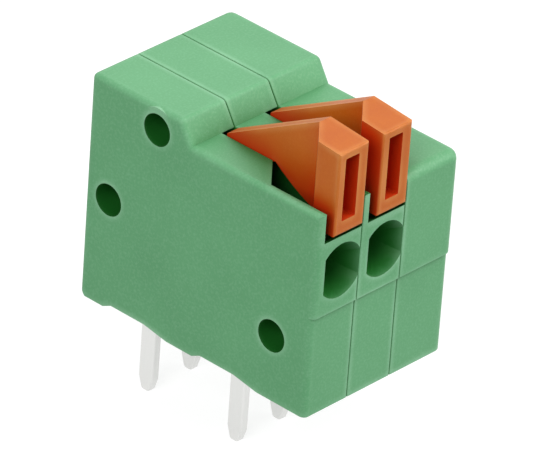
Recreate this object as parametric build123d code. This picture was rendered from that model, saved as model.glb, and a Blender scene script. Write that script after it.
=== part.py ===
from build123d import *
import os
from math import cos, radians, tan

# Two-pole spring-clamp terminal block for a circuit board, with push buttons that open the clamps.
# Lengths are in millimetres and angles in degrees.
# While it is built, x runs from the left side face, y from the upper front face, z from the board.

# Size of the block
POLES = 2
PITCH = 2.54
COVER_WIDTH = 3.26
DEPTH = 12.83
DECK_HEIGHT = 9.5
TOP_HEIGHT = 10.5
DECK_LENGTH = 7.16
BEVEL_RUN = 0.62
STEP_HEIGHT = 4.68
STEP_SETBACK = 0.1
BACK_FOOT_CHAMFER = 0.3

# Walls of a housing, which is a tray that is open towards the next piece
SIDE_WALL = 0.33
RIM_WALL = 0.5
END_ROUND = 0.25
COVER_ROUND = 0.5
CROSS_ROUND = 0.25
COVER_FRONT_ROUND = 0.45
SEAM_ROUND = 0.07
TOUCH = 0.01
OVERCUT = 1.0

# Reliefs in the underside, one round each row of solder pins, with a long ramp in front
RELIEF_HEIGHT = 0.22
RELIEF_AHEAD = 2.0
RELIEF_BEHIND = 1.65
RELIEF_FRONT_RAMP = 1.3
RELIEF_BACK_RAMP = 0.45

# Sockets in the left side of a piece, and the pegs on its right side that fill the next one's
TOP_SOCKET_BEHIND_DECK = 1.9
TOP_SOCKET_DROP = 1.04
BACK_SOCKET_INSET = 1.33
BACK_SOCKET_HEIGHT = 5.07
FRONT_SOCKET_SHARE = 0.485
FRONT_SOCKET_BELOW_WEB = 0.225
SOCKET_RADIUS = 0.725
SOCKET_DEPTH = 1.2
SOCKET_BOSS_WALL = 0.28
PEG_CLEARANCE = 0.02
PEG_END_GAP = 0.15
PEG_CHAMFER = 0.12

# Wire entry: a round funnel that is cut off flat on its left and at the seam, with a bore behind it
ENTRY_SHIFT = 0.16
ENTRY_HEIGHT = 6.5
ENTRY_NARROWING = 0.02
ENTRY_LEFT = 0.48
FUNNEL_DEPTH = 1.4
BORE_HEIGHT = 6.22
BORE_RADIUS = 0.8
ENTRY_BLOCK_LENGTH = 2.45
ENTRY_BLOCK_WALL = 0.35
ENTRY_ROOF_WALL = 0.25

# Push button: a hollow-fronted head and a thin fin that runs down to the foot of the bevel
SLOPE = 29.0
STROKE = 1.9
SILL_HEIGHT = 8.13
HEAD_LIFT = 0.15
HEAD_PROUD = 0.08
HEAD_LEFT = 0.78
HEAD_TOP = 12.08
HEAD_SIDE_LENGTH = 1.12
HEAD_LENGTH = 2.05
FIN_THICKNESS = 0.66
FIN_GAP = 0.055
LIP_GAP = 0.06
FIN_ARCH_LENGTH = 4.22
FIN_ARCH_HEIGHT = 9.48
FIN_ARCH_SAG = 0.1
TAIL_LENGTH = 6.9
TAIL_DROP = 0.85
TAIL_TOE = 1.3
BUTTON_ROUND = 0.1
RECESS_LEFT = 0.37
RECESS_RIGHT = 0.55
RECESS_BOTTOM = 0.62
RECESS_TOP = 0.32
RECESS_DEPTH = 0.8
RECESS_ROUND = 0.06
HEAD_ROOM = 0.66
STOP_GAP = 0.1

# Contact bar: one stamping with an upright web, two solder pins and a folded ledge for the wire
STRIP = 0.4
PIN_X = 1.27
PIN_WIDTH = 0.8
PIN_LENGTH = 3.75
PIN_SPACING = 5.08
PIN_TIP_LENGTH = 0.6
PIN_TIP_WIDTH = 0.42
PIN_TIP_ROUND = 0.16
PIN_EDGE_ROUND = 0.07
WEB_HEIGHT = 1.17
WEB_LAP = 0.1
WEB_SOCKET_GAP = 0.27
LEDGE_DROP = 0.05
LEDGE_FRONT = 2.55
LEDGE_BACK = 7.2
LEDGE_WIDTH = 1.35
FOLD_RADIUS = 0.2
PIN_CLEARANCE = 0.03

# Clamp spring: one bent strip, from the seat behind the bar over the top to the clamping edge
SPRING_THICKNESS = 0.22
SPRING_WIDTH = 1.28
SPRING_SIDE_GAP = 0.09
SPRING_BEND = 0.42
SPRING_TIP_Y = 5.95
SPRING_KNEE_Y = 4.25
SPRING_KNEE_Z = 8.45
SPRING_CREST_Y = 5.3
SPRING_CREST_Z = 8.65
SPRING_BACK_INSET = 1.83
SPRING_BACK_Z = 7.75
SPRING_SEAT_RUN = 1.2
SPRING_SEAT_LENGTH = 1.35
SPRING_RISE_SHARE = 0.44

# Ribs of the tray that carry the contact bar
RIB_THICKNESS = 0.5
RIB_TOP_ABOVE = 0.45
RIB_WIDTH = 1.75
RIB_PLACES = (0.3, 0.7)

# Values worked out from those above
WIDTH = POLES * PITCH + COVER_WIDTH
BOSS_RADIUS = SOCKET_RADIUS + SOCKET_BOSS_WALL
BACK_SOCKET_Y = DEPTH - BACK_SOCKET_INSET
BACK_PIN_Y = BACK_SOCKET_Y - BOSS_RADIUS - WEB_SOCKET_GAP - PIN_WIDTH / 2
FRONT_PIN_Y = BACK_PIN_Y - PIN_SPACING
FRONT_SOCKET_Y = (STEP_SETBACK + FRONT_PIN_Y - PIN_WIDTH / 2) * FRONT_SOCKET_SHARE
LEDGE_TOP = BORE_HEIGHT - BORE_RADIUS - LEDGE_DROP
WEB_BOTTOM = LEDGE_TOP - WEB_HEIGHT
SOCKETS = (
    (DECK_LENGTH + TOP_SOCKET_BEHIND_DECK, TOP_HEIGHT - TOP_SOCKET_DROP),
    (BACK_SOCKET_Y, BACK_SOCKET_HEIGHT),
    (FRONT_SOCKET_Y, WEB_BOTTOM - FRONT_SOCKET_BELOW_WEB - BOSS_RADIUS),
)
ORIGIN_X = PIN_X + (POLES - 1) * PITCH / 2
ORIGIN_Y = (FRONT_PIN_Y + BACK_PIN_Y) / 2
ENTRY_X = PITCH / 2 + ENTRY_SHIFT
ENTRY_RADIUS = PITCH / 2 - ENTRY_NARROWING
HEAD_RIGHT = PITCH - FIN_GAP
FIN_LEFT = HEAD_RIGHT - FIN_THICKNESS
SLOT_LEFT = FIN_LEFT - LIP_GAP
HEAD_BOTTOM = SILL_HEIGHT + HEAD_LIFT
PEG_RADIUS = SOCKET_RADIUS - PEG_CLEARANCE
PEG_LENGTH = SOCKET_DEPTH - PEG_END_GAP
ENTRY_BLOCK_TOP = BORE_HEIGHT + BORE_RADIUS + ENTRY_ROOF_WALL
ENTRY_BLOCK_BOTTOM = BORE_HEIGHT - BORE_RADIUS - ENTRY_BLOCK_WALL
RAMP_LENGTH = (SILL_HEIGHT - ENTRY_BLOCK_TOP) / tan(radians(SLOPE))
STROKE_BACK = STROKE * cos(radians(SLOPE))
FLARE_RUN = FIN_LEFT - HEAD_LEFT
FLARE_LENGTH = HEAD_LENGTH - HEAD_SIDE_LENGTH
SPRING_BACK_Y = DEPTH - SPRING_BACK_INSET
SPRING_SEAT_Y = SPRING_BACK_Y - SPRING_SEAT_RUN


def fin_line(y):
    """Height of the fin's top edge, which meets the deck at the foot of the bevel."""
    return DECK_HEIGHT - LIP_GAP - (y - DECK_LENGTH) * tan(radians(SLOPE))


def side_prism(points, x_from, x_to):
    """A solid whose side view is the closed outline of (y, z) points."""
    face = Plane.YZ * make_face(Polyline(*points, close=True))
    return Pos(x_from, 0, 0) * extrude(face, x_to - x_from)


def plan_prism(points, z_from, z_to):
    """A solid whose plan is the closed outline of (x, y) points."""
    face = make_face(Polyline(*points, close=True))
    return Pos(0, 0, z_from) * extrude(face, z_to - z_from)


def block(x_from, x_to, y_from, y_to, z_from, z_to):
    """A plain rectangular solid between the given limits."""
    size = (x_to - x_from, y_to - y_from, z_to - z_from)
    return Pos(x_from, y_from, z_from) * Box(*size, align=(Align.MIN, Align.MIN, Align.MIN))


def cross_rod(y, z, radius, x_from, x_to):
    """A round rod that lies along x."""
    rod = Cylinder(radius, x_to - x_from, align=(Align.CENTER, Align.CENTER, Align.MIN))
    return Pos(x_from, y, z) * Rot(0, 90, 0) * rod


def rounded_prism(outline, corners, x_from, x_to, left_round, right_round):
    """A side prism with some corners rounded across, and its side rims but for the foot and step."""
    prism = side_prism(outline, x_from, x_to)
    for (corner_y, corner_z), radius in corners:
        crossing = prism.edges().filter_by(Axis.X)
        edge = crossing.sort_by(lambda e: abs(e.center().Y - corner_y) + abs(e.center().Z - corner_z))[0]
        prism = fillet(edge, radius)
    for side, radius in ((0, left_round), (-1, right_round)):
        outer_face = prism.faces().sort_by(Axis.X)[side]
        rim = [e for e in outer_face.edges() if min(abs(e.center().Z - z) for z in (0, STEP_HEIGHT)) > TOUCH]
        prism = fillet(rim, radius)
    return prism


def rounded_shell(x_from, x_to, left_round, right_round, soft_front):
    """The outside of one moulded piece: upper part, lower part set back in front, and the feet."""
    upper = [
        (0, STEP_HEIGHT),
        (0, DECK_HEIGHT),
        (DECK_LENGTH, DECK_HEIGHT),
        (DECK_LENGTH + BEVEL_RUN, TOP_HEIGHT),
        (DEPTH, TOP_HEIGHT),
        (DEPTH, STEP_HEIGHT),
    ]
    lower = [
        (STEP_SETBACK, STEP_HEIGHT),
        (DEPTH, STEP_HEIGHT),
        (DEPTH, 0),
        (STEP_SETBACK, 0),
    ]
    crossed = [(upper[3], CROSS_ROUND), (upper[4], CROSS_ROUND)]
    if soft_front:
        crossed.append((upper[1], COVER_FRONT_ROUND))
    shell = rounded_prism(upper, crossed, x_from, x_to, left_round, right_round)
    shell = shell + rounded_prism(lower, [], x_from, x_to, left_round, right_round)
    heel = [
        (DEPTH - BACK_FOOT_CHAMFER, 0),
        (DEPTH, BACK_FOOT_CHAMFER),
        (DEPTH + OVERCUT, 0),
        (DEPTH, -OVERCUT),
    ]
    shell = shell - side_prism(heel, x_from - OVERCUT, x_to + OVERCUT)
    return shell - reliefs(x_from - OVERCUT, x_to + OVERCUT)


def reliefs(x_from, x_to):
    """The shallow hollows under the block that leave feet at the front, middle and back."""
    cut = None
    for pin_y in (FRONT_PIN_Y, BACK_PIN_Y):
        front = pin_y - RELIEF_AHEAD
        back = pin_y + RELIEF_BEHIND
        hollow = side_prism(
            [
                (front, -OVERCUT),
                (front, 0),
                (front + RELIEF_FRONT_RAMP, RELIEF_HEIGHT),
                (back - RELIEF_BACK_RAMP, RELIEF_HEIGHT),
                (back, 0),
                (back, -OVERCUT),
            ],
            x_from,
            x_to,
        )
        cut = hollow if cut is None else cut + hollow
    return cut


def sockets(x_from):
    """Round blind holes in a left side face, for the pegs of the piece before it."""
    holes = None
    for y, z in SOCKETS:
        hole = cross_rod(y, z, SOCKET_RADIUS, x_from, x_from + SOCKET_DEPTH)
        holes = hole if holes is None else holes + hole
    return holes


def socket_bosses(x_from):
    """Bosses behind the sockets, each carried on to the right side as a peg."""
    bosses = None
    for y, z in SOCKETS:
        boss = cross_rod(y, z, BOSS_RADIUS, x_from, x_from + SOCKET_DEPTH + SOCKET_BOSS_WALL)
        peg = cross_rod(y, z, PEG_RADIUS, x_from, x_from + PITCH + PEG_LENGTH)
        peg = chamfer(peg.edges().sort_by(Axis.X)[-1], PEG_CHAMFER)
        boss = boss + peg
        bosses = boss if bosses is None else bosses + boss
    return bosses


def tray_hollow(x_from, x_to):
    """The space inside a housing, inside its left wall and its rim."""
    roof = DECK_HEIGHT - RIM_WALL
    high_roof = TOP_HEIGHT - RIM_WALL
    bevel_foot = DECK_LENGTH + BEVEL_RUN / 2
    outline = [
        (RIM_WALL, STEP_HEIGHT + RIM_WALL),
        (RIM_WALL, roof),
        (bevel_foot, roof),
        (bevel_foot + BEVEL_RUN, high_roof),
        (DEPTH - RIM_WALL, high_roof),
        (DEPTH - RIM_WALL, RELIEF_HEIGHT + RIM_WALL),
        (STEP_SETBACK + RIM_WALL, RELIEF_HEIGHT + RIM_WALL),
        (STEP_SETBACK + RIM_WALL, STEP_HEIGHT + RIM_WALL),
    ]
    return side_prism(outline, x_from, x_to)


def entry_block(x_left):
    """Solid part behind the front wall that holds the funnel, with a sloped top for the button."""
    outline = [
        (0, STEP_HEIGHT),
        (0, SILL_HEIGHT),
        (RAMP_LENGTH, ENTRY_BLOCK_TOP),
        (ENTRY_BLOCK_LENGTH, ENTRY_BLOCK_TOP),
        (ENTRY_BLOCK_LENGTH, ENTRY_BLOCK_BOTTOM),
        (RIM_WALL, ENTRY_BLOCK_BOTTOM),
        (RIM_WALL, STEP_HEIGHT),
    ]
    return side_prism(outline, x_left + SIDE_WALL, x_left + PITCH)


def wire_entry(x_left):
    """The funnel mouth, cut off flat on its left side, and the round bore behind it."""
    x_mid = x_left + ENTRY_X
    mouth = Plane((x_mid, 0, ENTRY_HEIGHT), x_dir=(1, 0, 0), z_dir=(0, 1, 0)) * Circle(ENTRY_RADIUS)
    throat_plane = Plane((x_mid, FUNNEL_DEPTH, BORE_HEIGHT), x_dir=(1, 0, 0), z_dir=(0, 1, 0))
    throat = throat_plane * Circle(BORE_RADIUS)
    funnel = loft([mouth, throat])
    flats = [
        (x_left + ENTRY_LEFT, 0),
        (x_left + PITCH, 0),
        (x_mid + BORE_RADIUS, FUNNEL_DEPTH),
        (x_mid - BORE_RADIUS, FUNNEL_DEPTH),
    ]
    bore = extrude(throat, ENTRY_BLOCK_LENGTH - FUNNEL_DEPTH)
    return (funnel & plan_prism(flats, 0, TOP_HEIGHT)) + bore


def button_pocket(x_left):
    """The opening in the deck: room for the head and its stroke, and the narrow slot of the fin."""
    x_wall = x_left + SIDE_WALL
    x_slot = x_left + SLOT_LEFT
    x_open = x_left + PITCH
    room_back = HEAD_SIDE_LENGTH + STROKE_BACK + HEAD_ROOM
    flare_start = room_back - (HEAD_LEFT - SIDE_WALL) * FLARE_LENGTH / FLARE_RUN
    flare_end = flare_start + (SLOT_LEFT - SIDE_WALL) * FLARE_LENGTH / FLARE_RUN
    plan = [
        (x_wall, -OVERCUT),
        (x_open, -OVERCUT),
        (x_open, DECK_LENGTH),
        (x_slot, DECK_LENGTH),
        (x_slot, flare_end),
        (x_wall, flare_start),
    ]
    sill = side_prism(
        [
            (-2 * OVERCUT, 0),
            (-2 * OVERCUT, SILL_HEIGHT),
            (0, SILL_HEIGHT),
            (RAMP_LENGTH, ENTRY_BLOCK_TOP),
            (RAMP_LENGTH, 0),
        ],
        x_left,
        x_open,
    )
    opening = plan_prism(plan, ENTRY_BLOCK_TOP, TOP_HEIGHT) - sill
    channel_front = DECK_LENGTH - OVERCUT
    channel_back = TAIL_LENGTH + STROKE_BACK + STOP_GAP
    channel = side_prism(
        [
            (channel_front, fin_line(channel_front) + LIP_GAP),
            (channel_back, fin_line(channel_back) + LIP_GAP),
            (channel_back, ENTRY_BLOCK_TOP),
            (channel_front, ENTRY_BLOCK_TOP),
        ],
        x_slot,
        x_open,
    )
    return opening + channel


def bar_ribs(x_left):
    """Two upright ribs on the tray's floor, notched for the web of the contact bar."""
    ribs = None
    gap = PIN_CLEARANCE
    for place in RIB_PLACES:
        rib_y = FRONT_PIN_Y + PIN_SPACING * place
        limits = (rib_y - RIB_THICKNESS / 2, rib_y + RIB_THICKNESS / 2)
        rib_top = WEB_BOTTOM + RIB_TOP_ABOVE
        rib = block(x_left + SIDE_WALL, x_left + RIB_WIDTH, *limits, RELIEF_HEIGHT, rib_top)
        notch_left = x_left + PIN_X - STRIP / 2 - gap
        notch_right = x_left + PIN_X + STRIP / 2 + gap
        notch = block(notch_left, notch_right, *limits, WEB_BOTTOM, TOP_HEIGHT)
        rib = rib - notch
        ribs = rib if ribs is None else ribs + rib
    return ribs


def pin_slots(x_left):
    """Slots in the floor that the solder pins pass down through."""
    slots = None
    for pin_y in (FRONT_PIN_Y, BACK_PIN_Y):
        slot = block(
            x_left + PIN_X - STRIP / 2 - PIN_CLEARANCE,
            x_left + PIN_X + STRIP / 2 + PIN_CLEARANCE,
            pin_y - PIN_WIDTH / 2 - PIN_CLEARANCE,
            pin_y + PIN_WIDTH / 2 + PIN_CLEARANCE,
            -OVERCUT,
            RELIEF_HEIGHT + RIM_WALL + OVERCUT,
        )
        slots = slot if slots is None else slots + slot
    return slots


def terminal_housing(pole):
    """One moulded tray for one pole, with its left wall, rim, bosses, pegs and wire entry."""
    x_left = pole * PITCH
    x_right = x_left + PITCH
    left_round = END_ROUND if pole == 0 else SEAM_ROUND
    shell = rounded_shell(x_left, x_right, left_round, SEAM_ROUND, False)
    housing = shell - tray_hollow(x_left + SIDE_WALL, x_right)
    housing = housing + (entry_block(x_left) & shell)
    housing = housing + bar_ribs(x_left)
    housing = housing - button_pocket(x_left)
    housing = housing + socket_bosses(x_left)
    housing = housing - sockets(x_left)
    housing = housing - wire_entry(x_left)
    return housing - pin_slots(x_left)


def end_cover():
    """The blank piece at the right end, which closes the last tray and takes its pegs."""
    x_left = POLES * PITCH
    return rounded_shell(x_left, WIDTH, SEAM_ROUND, COVER_ROUND, True) - sockets(x_left)


def release_button(pole):
    """The wedge that opens the clamp: a flared head, a blade recess in front, a fin and a tail."""
    x_left = pole * PITCH
    fin_top_at_head = fin_line(HEAD_LENGTH)
    arch_middle = ((HEAD_LENGTH + FIN_ARCH_LENGTH) / 2, (HEAD_BOTTOM + FIN_ARCH_HEIGHT) / 2 - FIN_ARCH_SAG)
    straight = Polyline(
        (HEAD_LENGTH, HEAD_BOTTOM),
        (-HEAD_PROUD, HEAD_BOTTOM),
        (-HEAD_PROUD, HEAD_TOP),
        (HEAD_LENGTH, fin_top_at_head),
        (TAIL_LENGTH, fin_line(TAIL_LENGTH)),
        (TAIL_LENGTH, fin_line(TAIL_LENGTH) - TAIL_DROP),
        (TAIL_LENGTH - TAIL_TOE, fin_line(TAIL_LENGTH) - TAIL_DROP),
        (FIN_ARCH_LENGTH, FIN_ARCH_HEIGHT),
    )
    arch = ThreePointArc((FIN_ARCH_LENGTH, FIN_ARCH_HEIGHT), arch_middle, (HEAD_LENGTH, HEAD_BOTTOM))
    side = Plane.YZ * make_face([straight, arch])
    plan = [
        (x_left + HEAD_LEFT, -HEAD_PROUD),
        (x_left + HEAD_RIGHT, -HEAD_PROUD),
        (x_left + HEAD_RIGHT, TAIL_LENGTH),
        (x_left + FIN_LEFT, TAIL_LENGTH),
        (x_left + FIN_LEFT, HEAD_LENGTH),
        (x_left + HEAD_LEFT, HEAD_SIDE_LENGTH),
    ]
    wedge = Pos(x_left + HEAD_LEFT, 0, 0) * extrude(side, HEAD_RIGHT - HEAD_LEFT)
    wedge = wedge & plan_prism(plan, 0, HEAD_TOP * 2)
    front = wedge.faces().sort_by(Axis.Y)[0]
    wedge = fillet(front.edges(), BUTTON_ROUND)
    recess = block(
        x_left + HEAD_LEFT + RECESS_LEFT,
        x_left + HEAD_RIGHT - RECESS_RIGHT,
        -OVERCUT,
        RECESS_DEPTH,
        HEAD_BOTTOM + RECESS_BOTTOM,
        HEAD_TOP - RECESS_TOP,
    )
    recess = fillet(recess.edges().filter_by(Axis.Y), RECESS_ROUND)
    return wedge - recess


def contact_bar(pole):
    """The stamped current bar: upright web, folded ledge under the wire, and two solder pins."""
    x_mid = pole * PITCH + PIN_X
    x_from = x_mid - STRIP / 2
    x_to = x_mid + STRIP / 2
    tip_in = (PIN_WIDTH - PIN_TIP_WIDTH) / 2
    web_back = BACK_PIN_Y + PIN_WIDTH / 2
    fold_z = LEDGE_TOP - STRIP - FOLD_RADIUS
    web = block(x_from, x_to, LEDGE_FRONT, web_back, WEB_BOTTOM, fold_z)
    back_web = block(x_from, x_to, LEDGE_BACK, web_back, WEB_BOTTOM, LEDGE_TOP)
    bar = web + back_web
    for pin_y in (FRONT_PIN_Y, BACK_PIN_Y):
        front = pin_y - PIN_WIDTH / 2
        back = pin_y + PIN_WIDTH / 2
        pin = side_prism(
            [
                (front, WEB_BOTTOM + WEB_LAP),
                (back, WEB_BOTTOM + WEB_LAP),
                (back, PIN_TIP_LENGTH - PIN_LENGTH),
                (back - tip_in, -PIN_LENGTH),
                (front + tip_in, -PIN_LENGTH),
                (front, PIN_TIP_LENGTH - PIN_LENGTH),
            ],
            x_from,
            x_to,
        )
        pin = fillet(pin.edges().filter_by(Axis.X).sort_by(Axis.Z)[:2], PIN_TIP_ROUND)
        for side in (0, -1):
            rim = pin.faces().sort_by(Axis.X)[side].edges()
            pin = fillet(rim.sort_by(Axis.Z)[:-1], PIN_EDGE_ROUND)
        bar = bar + pin
    fold_x = x_to + FOLD_RADIUS
    section = Plane.XZ * make_face(
        [
            Line((x_from, fold_z), (x_to, fold_z)),
            RadiusArc((x_to, fold_z), (fold_x, fold_z + FOLD_RADIUS), FOLD_RADIUS),
            Line((fold_x, fold_z + FOLD_RADIUS), (x_from + LEDGE_WIDTH, fold_z + FOLD_RADIUS)),
            Line((x_from + LEDGE_WIDTH, fold_z + FOLD_RADIUS), (x_from + LEDGE_WIDTH, LEDGE_TOP)),
            Line((x_from + LEDGE_WIDTH, LEDGE_TOP), (fold_x, LEDGE_TOP)),
            RadiusArc((fold_x, LEDGE_TOP), (x_from, fold_z), -(FOLD_RADIUS + STRIP)),
        ]
    )
    ledge = Pos(0, LEDGE_FRONT, 0) * extrude(section, -(LEDGE_BACK - LEDGE_FRONT))
    return bar + ledge


def clamp_spring(pole):
    """The bent leaf: its lower leg seats on the bar, its free leg slopes down onto the ledge."""
    x_from = pole * PITCH + SIDE_WALL + SPRING_SIDE_GAP
    seat = LEDGE_TOP + SPRING_THICKNESS / 2
    seat_rise = (SPRING_BACK_Z - seat) * SPRING_RISE_SHARE
    path = [
        (SPRING_TIP_Y, LEDGE_TOP + SPRING_THICKNESS),
        (SPRING_KNEE_Y, SPRING_KNEE_Z),
        (SPRING_CREST_Y, SPRING_CREST_Z),
        (SPRING_BACK_Y, SPRING_BACK_Z),
        (SPRING_BACK_Y, seat + seat_rise),
        (SPRING_SEAT_Y, seat),
        (SPRING_SEAT_Y - SPRING_SEAT_LENGTH, seat),
    ]
    strip = Plane.YZ * trace(FilletPolyline(*path, radius=SPRING_BEND), line_width=SPRING_THICKNESS)
    return Pos(x_from, 0, 0) * extrude(strip, SPRING_WIDTH)


def pieces():
    """Every piece of the block by its name, in the frame of the finished part."""
    named = {}
    for pole in range(POLES):
        number = pole + 1
        named[f"terminal_housing_{number}"] = terminal_housing(pole)
        named[f"release_button_{number}"] = release_button(pole)
        named[f"contact_bar_{number}"] = contact_bar(pole)
        named[f"clamp_spring_{number}"] = clamp_spring(pole)
    named["end_cover"] = end_cover()
    return {name: Pos(-ORIGIN_X, -ORIGIN_Y, 0) * solid for name, solid in named.items()}


os.makedirs("parts", exist_ok=True)
for name, solid in pieces().items():
    solid.label = name
    export_step(solid, f"parts/{name}.step")
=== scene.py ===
import math

import bpy
from mathutils import Matrix, Vector


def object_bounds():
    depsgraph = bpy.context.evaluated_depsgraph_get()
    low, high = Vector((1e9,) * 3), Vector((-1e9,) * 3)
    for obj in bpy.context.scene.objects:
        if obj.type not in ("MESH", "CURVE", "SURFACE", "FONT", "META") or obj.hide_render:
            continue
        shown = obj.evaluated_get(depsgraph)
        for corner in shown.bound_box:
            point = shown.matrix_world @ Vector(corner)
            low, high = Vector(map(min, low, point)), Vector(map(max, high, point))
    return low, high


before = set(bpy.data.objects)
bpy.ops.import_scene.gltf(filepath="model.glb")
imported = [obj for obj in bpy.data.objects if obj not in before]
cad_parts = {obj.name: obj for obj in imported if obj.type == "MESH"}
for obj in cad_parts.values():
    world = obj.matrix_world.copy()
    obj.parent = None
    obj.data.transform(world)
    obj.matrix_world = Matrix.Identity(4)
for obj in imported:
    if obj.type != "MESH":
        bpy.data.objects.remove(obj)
cad_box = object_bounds()

# Looks of a two-pole spring-clamp terminal block for a circuit board: green moulded housings and end
# cover, orange push buttons, tin-plated contact bars with solder pins, and steel clamp springs.
# Lengths are in metres and angles in degrees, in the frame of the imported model.

MM = 0.001
WHITE = (1.0, 1.0, 1.0, 1.0)

# Camera, as the block is seen from its front left and from above
VIEW_AZIMUTH = -48.665
VIEW_ELEVATION = 30.846
VIEW_ROLL = 4.196
VIEW_DISTANCE = 285.04 * MM
VIEW_TARGET = Vector((1.52, -1.06, 4.71)) * MM
VIEW_NEAR = 10.0 * MM
SENSOR_WIDTH = 36.0
LENS = 466.7

# Studio: the plain level of its light, its floor, and soft boxes by place, width and power
WORLD_STRENGTH = 0.38
FLOOR_SIZE = 3.0
FLOOR_GREY = "#8C8C8C"
FLOOR_GLOW = 0.85
LIGHT_TARGET = (0, 0, 0.005)
SOFT_BOXES = {
    "key_box": ((0.04, -0.17, 0.34), 0.2, 0.39),
    "side_box": ((-0.28, -0.08, 0.21), 0.2, 0.68),
    "back_box": ((0.20, 0.18, 0.20), 0.25, 0.16),
    "front_box": ((0.20, -0.18, 0.15), 0.2, 0.5),
}

# A noise pattern is nearly always between these two values
NOISE_LOW = 0.3
NOISE_HIGH = 0.7

# Places of the colours among the sockets of a node that mixes two colours
MIX_FIRST = 6
MIX_SECOND = 7
MIX_COLOUR = 2

# How far hollows are felt for their painted shade, and the open shares of the sky at which they are
# shut and open
HOUSING_HOLLOW_REACH = 2.5 * MM
BUTTON_HOLLOW_REACH = 1.9 * MM
HOLLOW_SHUT = 0.5
HOLLOW_OPEN = 0.93
HOLLOW_SAMPLES = 12

# How wide the painted edge highlights are and how pale, the shares of plastic round a point at which
# they start and are full, and how they come and go with the clouds of the colour
EDGE_REACH = 0.31 * MM
EDGE_HIGHLIGHT = 0.38
EDGE_START = 0.97
EDGE_FULL = 0.6
EDGE_SAMPLES = 8
EDGE_CLOUD_LOW = 0.35
EDGE_CLOUD_HIGH = 0.65
EDGE_LEAST = 0.3

# Moulded polyamide: clouds where the melt flowed, and the grain of the mould with its pale specks
CLOUD_SIZE = 3.2 * MM
GRAIN_SIZE = 0.1 * MM
GRAIN_DEPTH = 0.02 * MM
GRAIN_RELIEF = 0.12
SPECK_START = 0.45
SPECK_FULL = 0.75
POLYAMIDE_SMOOTH = 0.4
POLYAMIDE_ROUGH = 0.54
POLYAMIDE_SPECULAR = 0.3

# Rolled strip: how deep its lines are, and how much rougher they are than the strip
LINE_DEPTH = 0.01 * MM
LINE_RELIEF = 0.2
LINE_ROUGHER = 0.15


def linear(hex_colour):
    """An sRGB hex colour as the linear colour that a node takes."""
    channels = [int(hex_colour[i:i + 2], 16) / 255 for i in (1, 3, 5)]
    curved = [c / 12.92 if c <= 0.04045 else ((c + 0.055) / 1.055) ** 2.4 for c in channels]
    return (*curved, 1.0)


def add(tree, kind, inputs=None, **settings):
    """Adds a node with its settings, and sets or links each input that is given by name or place."""
    made = tree.nodes.new(kind)
    for name, value in settings.items():
        setattr(made, name, value)
    for socket, value in (inputs or {}).items():
        if isinstance(value, bpy.types.NodeSocket):
            tree.links.new(value, made.inputs[socket])
        else:
            made.inputs[socket].default_value = value
    return made


def new_material(name):
    """An empty node material and its tree."""
    material = bpy.data.materials.new(name)
    material.use_nodes = True
    material.node_tree.nodes.clear()
    return material, material.node_tree


def per_metre(size):
    """The scale of a pattern whose features are this far apart."""
    return 1.0 / size


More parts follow.
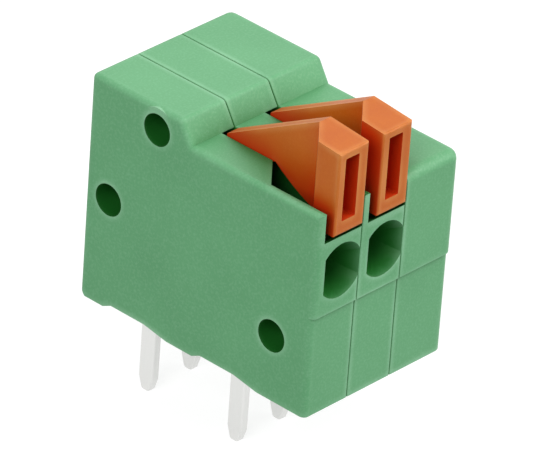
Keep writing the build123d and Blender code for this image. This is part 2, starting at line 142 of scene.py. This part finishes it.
def moulded_polyamide(name, colour, shade, pale, painted_shade, speckle, hollow_reach):
    """Moulded polyamide: satin, faintly cloudy in colour, with the fine grain of an eroded mould,
    painted highlights on its edges and painted shade in its hollows.
    """
    material, tree = new_material(name)
    place = add(tree, "ShaderNodeTexCoord").outputs["Object"]
    # The melt clouds the colour a little where it flowed.
    cloud = add(
        tree,
        "ShaderNodeTexNoise",
        {"Vector": place, "Scale": per_metre(CLOUD_SIZE), "Detail": 3.0},
    ).outputs["Fac"]
    flow = add(tree, "ShaderNodeValToRGB", {"Fac": cloud})
    for stop, where, tone in zip(flow.color_ramp.elements, (NOISE_LOW, NOISE_HIGH), (shade, colour)):
        stop.position = where
        stop.color = linear(tone)
    # The mould's grain is about 0.05 mm; it is drawn twice as coarse so that it shows.
    grain = add(
        tree,
        "ShaderNodeTexNoise",
        {"Vector": place, "Scale": per_metre(GRAIN_SIZE), "Detail": 2.0},
    ).outputs["Fac"]
    speck = add(
        tree,
        "ShaderNodeMapRange",
        {"Value": grain, "From Min": SPECK_START, "From Max": SPECK_FULL, "To Max": speckle},
    )
    dusted = add(
        tree,
        "ShaderNodeMix",
        {0: speck.outputs["Result"], MIX_FIRST: flow.outputs["Color"], MIX_SECOND: linear(pale)},
        data_type="RGBA",
    )
    # Edges and thin walls are painted paler: a painted highlight, as if light caught each edge.
    highlight_ao = add(
        tree,
        "ShaderNodeAmbientOcclusion",
        {"Distance": EDGE_REACH},
        samples=EDGE_SAMPLES,
        inside=True,
    )
    edge_highlight = add(
        tree,
        "ShaderNodeMapRange",
        {
            "Value": highlight_ao.outputs["AO"],
            "From Min": EDGE_START,
            "From Max": EDGE_FULL,
            "To Max": EDGE_HIGHLIGHT,
        },
    )
    edge_cloud = add(
        tree,
        "ShaderNodeMapRange",
        {
            "Value": cloud,
            "From Min": EDGE_CLOUD_LOW,
            "From Max": EDGE_CLOUD_HIGH,
            "To Min": EDGE_LEAST,
        },
    )
    highlight_share = add(
        tree,
        "ShaderNodeMath",
        {0: edge_highlight.outputs["Result"], 1: edge_cloud.outputs["Result"]},
        operation="MULTIPLY",
    )
    highlighted = add(
        tree,
        "ShaderNodeMix",
        {
            0: highlight_share.outputs["Value"],
            MIX_FIRST: dusted.outputs[MIX_COLOUR],
            MIX_SECOND: linear(pale),
        },
        data_type="RGBA",
    )
    # Painted shade: the colour is painted deeper and darker in hollows, the less sky they see.
    hollow_shade_ao = add(
        tree,
        "ShaderNodeAmbientOcclusion",
        {"Distance": hollow_reach},
        samples=HOLLOW_SAMPLES,
    )
    open_share = add(
        tree,
        "ShaderNodeMapRange",
        {"Value": hollow_shade_ao.outputs["AO"], "From Min": HOLLOW_SHUT, "From Max": HOLLOW_OPEN},
    )
    shaded = add(
        tree,
        "ShaderNodeMix",
        {
            0: open_share.outputs["Result"],
            MIX_FIRST: linear(painted_shade),
            MIX_SECOND: highlighted.outputs[MIX_COLOUR],
        },
        data_type="RGBA",
    )
    gloss = add(
        tree,
        "ShaderNodeMapRange",
        {
            "Value": grain,
            "From Min": NOISE_LOW,
            "From Max": NOISE_HIGH,
            "To Min": POLYAMIDE_SMOOTH,
            "To Max": POLYAMIDE_ROUGH,
        },
    )
    relief = add(
        tree,
        "ShaderNodeBump",
        {"Height": grain, "Strength": GRAIN_RELIEF, "Distance": GRAIN_DEPTH},
    )
    surface = add(
        tree,
        "ShaderNodeBsdfPrincipled",
        {
            "Base Color": shaded.outputs[MIX_COLOUR],
            "Roughness": gloss.outputs["Result"],
            "Normal": relief.outputs["Normal"],
            "Specular IOR Level": POLYAMIDE_SPECULAR,
        },
    )
    add(tree, "ShaderNodeOutputMaterial", {"Surface": surface.outputs["BSDF"]})
    return material


def rolled_metal(name, colour, rough, line_length, line_spacing):
    """Rolled metal strip: bright, with fine lines along the way that it was rolled."""
    material, tree = new_material(name)
    place = add(tree, "ShaderNodeTexCoord").outputs["Object"]
    across = per_metre(line_spacing)
    stretch = add(
        tree,
        "ShaderNodeMapping",
        {"Vector": place, "Scale": (across, across, per_metre(line_length))},
    )
    # The lines are about 0.01 mm apart; they are drawn wider so that they show.
    lines = add(
        tree,
        "ShaderNodeTexNoise",
        {"Vector": stretch.outputs["Vector"], "Scale": 1.0, "Detail": 3.0},
    ).outputs["Fac"]
    gloss = add(
        tree,
        "ShaderNodeMapRange",
        {
            "Value": lines,
            "From Min": NOISE_LOW,
            "From Max": NOISE_HIGH,
            "To Min": rough,
            "To Max": rough + LINE_ROUGHER,
        },
    )
    relief = add(
        tree,
        "ShaderNodeBump",
        {"Height": lines, "Strength": LINE_RELIEF, "Distance": LINE_DEPTH},
    )
    surface = add(
        tree,
        "ShaderNodeBsdfPrincipled",
        {
            "Base Color": linear(colour),
            "Metallic": 1.0,
            "Roughness": gloss.outputs["Result"],
            "Normal": relief.outputs["Normal"],
        },
    )
    add(tree, "ShaderNodeOutputMaterial", {"Surface": surface.outputs["BSDF"]})
    return material


def camera_or_mirror(tree):
    """1 for rays that come straight from the camera or by way of a shiny or clear surface."""
    path = add(tree, "ShaderNodeLightPath")
    seen = add(
        tree,
        "ShaderNodeMath",
        {0: path.outputs["Is Camera Ray"], 1: path.outputs["Is Glossy Ray"]},
        operation="MAXIMUM",
    )
    clear = add(
        tree,
        "ShaderNodeMath",
        {0: seen.outputs["Value"], 1: path.outputs["Is Transmission Ray"]},
        operation="MAXIMUM",
    )
    return clear.outputs["Value"]


def make_world():
    """A white studio: white where it is seen, and a soft even light on the object."""
    world = bpy.data.worlds.new("white_studio")
    bpy.context.scene.world = world
    world.use_nodes = True
    tree = world.node_tree
    tree.nodes.clear()
    strength = add(
        tree,
        "ShaderNodeMapRange",
        {"Value": camera_or_mirror(tree), "To Min": WORLD_STRENGTH, "To Max": 1.0},
    )
    glow = add(
        tree,
        "ShaderNodeBackground",
        {"Color": WHITE, "Strength": strength.outputs["Result"]},
    )
    add(tree, "ShaderNodeOutputWorld", {"Surface": glow.outputs["Background"]})


def make_floor(height):
    """A plain white floor that keeps the object's shadow."""
    bpy.ops.mesh.primitive_plane_add(size=FLOOR_SIZE, location=(0, 0, height))
    floor = bpy.context.object
    floor.name = "studio_floor"
    material, tree = new_material("matt_white_paper")
    sheet = add(tree, "ShaderNodeBsdfDiffuse", {"Color": linear(FLOOR_GREY)})
    glow_level = add(
        tree,
        "ShaderNodeMapRange",
        {"Value": camera_or_mirror(tree), "To Min": 0.0, "To Max": FLOOR_GLOW},
    )
    glow = add(
        tree,
        "ShaderNodeEmission",
        {"Color": WHITE, "Strength": glow_level.outputs["Result"]},
    )
    both = add(tree, "ShaderNodeAddShader", {0: sheet.outputs["BSDF"], 1: glow.outputs["Emission"]})
    add(tree, "ShaderNodeOutputMaterial", {"Surface": both.outputs["Shader"]})
    floor.data.materials.append(material)


def make_light(name, place, width, power):
    """A square soft box that faces the object."""
    data = bpy.data.lights.new(name, "AREA")
    data.shape = "SQUARE"
    data.size = width
    data.energy = power
    lamp = bpy.data.objects.new(name, data)
    bpy.context.collection.objects.link(lamp)
    lamp.location = place
    lamp.rotation_euler = (Vector(LIGHT_TARGET) - Vector(place)).to_track_quat("-Z", "Y").to_euler()


def make_camera():
    """The camera at the place and roll from which the block is seen."""
    turn = math.radians(VIEW_AZIMUTH)
    tilt = math.radians(VIEW_ELEVATION)
    roll = math.radians(VIEW_ROLL)
    back = Vector((math.sin(turn) * math.cos(tilt), -math.cos(turn) * math.cos(tilt), math.sin(tilt)))
    level = Vector((math.cos(turn), math.sin(turn), 0.0))
    upright = back.cross(level)
    right = level * math.cos(roll) + upright * math.sin(roll)
    up = upright * math.cos(roll) - level * math.sin(roll)
    data = bpy.data.cameras.new("view_camera")
    data.sensor_width = SENSOR_WIDTH
    data.lens = LENS
    data.clip_start = VIEW_NEAR
    camera = bpy.data.objects.new("view_camera", data)
    bpy.context.collection.objects.link(camera)
    pose = Matrix((right, up, back)).transposed().to_4x4()
    pose.translation = VIEW_TARGET + back * VIEW_DISTANCE
    camera.matrix_world = pose
    bpy.context.scene.camera = camera


def dress(node, material):
    """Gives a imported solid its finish."""
    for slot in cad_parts[node].material_slots:
        slot.material = material


make_camera()
make_world()
make_floor(cad_box[0][2])
for box_name, (box_place, box_width, box_power) in SOFT_BOXES.items():
    make_light(box_name, box_place, box_width, box_power)

# Green plastic of the housings and the cover: an even, slightly milky green, with dark green painted
# shade in its hollows
green = moulded_polyamide(
    "moulded_polyamide_green",
    colour="#65A976",
    shade="#5FA270",
    pale="#B4E2C0",
    painted_shade="#1A6420",
    speckle=0.14,
    hollow_reach=HOUSING_HOLLOW_REACH,
)

# Orange plastic of the push buttons, clearer than the green; its hollows get a deep red painted shade
orange = moulded_polyamide(
    "moulded_polyamide_orange",
    colour="#C86812",
    shade="#BE5C0E",
    pale="#E8AE68",
    painted_shade="#C03004",
    speckle=0.07,
    hollow_reach=BUTTON_HOLLOW_REACH,
)

# Tin on the contact bars: pale and nearly white, with a soft shine
tinned = rolled_metal(
    "tin_plated_bronze_strip",
    colour="#DEDEDC",
    rough=0.3,
    line_length=1.2 * MM,
    line_spacing=0.06 * MM,
)

# Stainless steel of the clamp springs: greyer and a little brighter in its shine than tin
steel = rolled_metal(
    "rolled_stainless_strip",
    colour="#B8B8B4",
    rough=0.28,
    line_length=1.0 * MM,
    line_spacing=0.05 * MM,
)

for pole in (1, 2):
    dress(f"terminal_housing_{pole}", green)
    dress(f"release_button_{pole}", orange)
    dress(f"contact_bar_{pole}", tinned)
    dress(f"clamp_spring_{pole}", steel)
dress("end_cover", green)

bpy.context.scene.view_settings.view_transform = "Standard"
